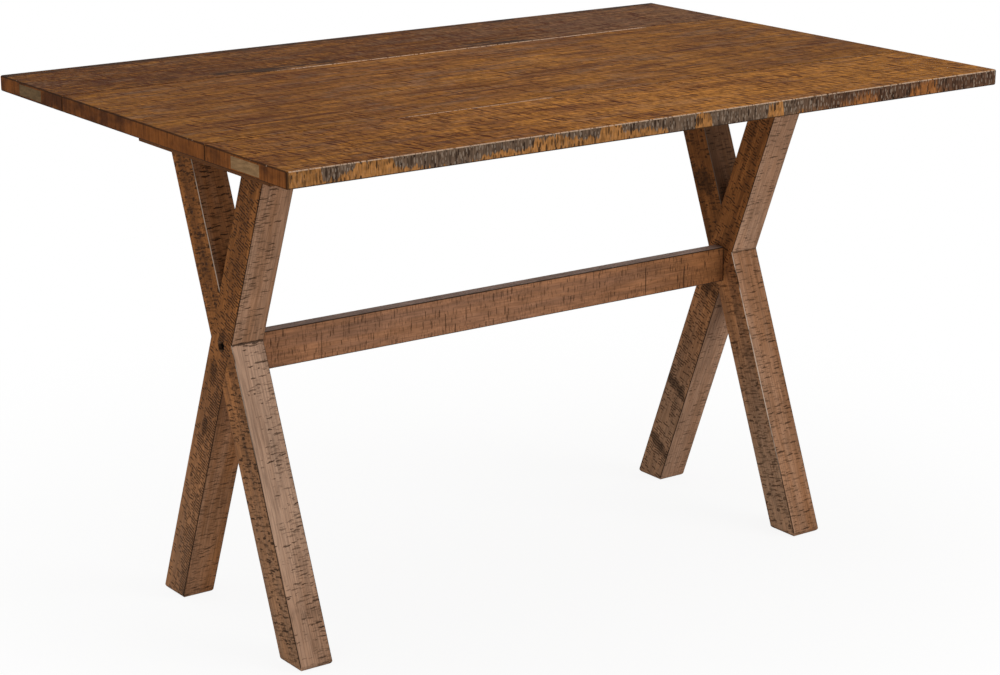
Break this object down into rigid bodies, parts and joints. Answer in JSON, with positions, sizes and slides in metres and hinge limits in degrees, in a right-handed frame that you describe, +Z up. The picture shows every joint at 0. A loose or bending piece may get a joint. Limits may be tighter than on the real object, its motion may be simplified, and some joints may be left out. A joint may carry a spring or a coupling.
{
  "type": "flip-top dining table",
  "caption": "Wooden trestle dining table with crossed legs and a stretcher, whose long leaves fold over onto the centre board and rest open on sliding bearers.",
  "frame": {"origin": "on the floor, under the middle of the table top", "axes": "+X along the length of the top, -Y towards the viewer of the picture (the front leaf), +Z up"},
  "size_m": [1.2192, 0.8128, 0.762],
  "materials": {
    "top_wood": "tobacco-brown stain over rough-sawn, wire-brushed boards, satin",
    "trestle_wood": "tobacco-brown stain with dark saw marks across the grain, satin",
    "bearer_wood": "planed and stained, matt",
    "plug_wood": "pale, unstained, matt",
    "dowel_wood": "bare beech",
    "bolt_steel": "black oxide, dull",
    "fastener_steel": "yellow zinc plate",
    "hinge_metal": "aged brass"
  },
  "bodies": {
    "base": {"center_top": "top_wood", "stretcher": "trestle_wood", "left_front_leg": "trestle_wood", "left_rear_leg": "trestle_wood", "right_front_leg": "trestle_wood", "right_rear_leg": "trestle_wood", "left_top_rail": "trestle_wood", "right_top_rail": "trestle_wood", "stretcher_dowels": "dowel_wood", "loper_stop_pins": "fastener_steel", "stretcher_bolts": "bolt_steel", "stretcher_washers": "bolt_steel", "stretcher_barrel_nuts": "bolt_steel", "leg_screws": "fastener_steel", "rail_screws": "fastener_steel", "front_hinge_center_cups": "hinge_metal", "front_hinge_pins": "hinge_metal", "front_hinge_center_screws": "fastener_steel", "rear_hinge_center_cups": "hinge_metal", "rear_hinge_pins": "hinge_metal", "rear_hinge_center_screws": "fastener_steel"},
    "front_leaf": {"front_leaf": "top_wood", "front_leaf_end_plugs": "plug_wood", "front_hinge_leaf_cups": "hinge_metal", "front_hinge_leaf_screws": "fastener_steel"},
    "front_links": {"front_hinge_links": "hinge_metal"},
    "rear_leaf": {"rear_leaf": "top_wood", "rear_leaf_end_plugs": "plug_wood", "rear_hinge_leaf_cups": "hinge_metal", "rear_hinge_leaf_screws": "fastener_steel"},
    "rear_links": {"rear_hinge_links": "hinge_metal"},
    "left_front_loper": {"left_front_loper": "bearer_wood"},
    "right_front_loper": {"right_front_loper": "bearer_wood"},
    "left_rear_loper": {"left_rear_loper": "bearer_wood"},
    "right_rear_loper": {"right_rear_loper": "bearer_wood"}
  },
  "joints": [
    {"name": "front_leaf_flip", "type": "hinge", "parent": "base", "child": "front_leaf", "pos_m": [0, -0.20345, 0.7623], "axis": [-1, 0, 0], "range_deg": [0, 180]},
    {"name": "front_link_swing", "type": "hinge", "parent": "base", "child": "front_links", "pos_m": [0, -0.19845, 0.753], "axis": [-1, 0, 0], "range_deg": [0, 90]},
    {"name": "rear_leaf_flip", "type": "hinge", "parent": "base", "child": "rear_leaf", "pos_m": [0, 0.20345, 0.7623], "axis": [1, 0, 0], "range_deg": [0, 180]},
    {"name": "rear_link_swing", "type": "hinge", "parent": "base", "child": "rear_links", "pos_m": [0, 0.19845, 0.753], "axis": [1, 0, 0], "range_deg": [0, 90]},
    {"name": "left_front_loper_slide", "type": "slide", "parent": "base", "child": "left_front_loper", "axis": [0, 1, 0], "range_m": [0, 0.1247]},
    {"name": "right_front_loper_slide", "type": "slide", "parent": "base", "child": "right_front_loper", "axis": [0, 1, 0], "range_m": [0, 0.1247]},
    {"name": "left_rear_loper_slide", "type": "slide", "parent": "base", "child": "left_rear_loper", "axis": [0, -1, 0], "range_m": [0, 0.1247]},
    {"name": "right_rear_loper_slide", "type": "slide", "parent": "base", "child": "right_rear_loper", "axis": [0, -1, 0], "range_m": [0, 0.1247]}
  ],
  "couplings": [
    {"joint": "front_link_swing", "follows": "front_leaf_flip", "ratio": 0.5},
    {"joint": "rear_link_swing", "follows": "rear_leaf_flip", "ratio": 0.5}
  ]
}
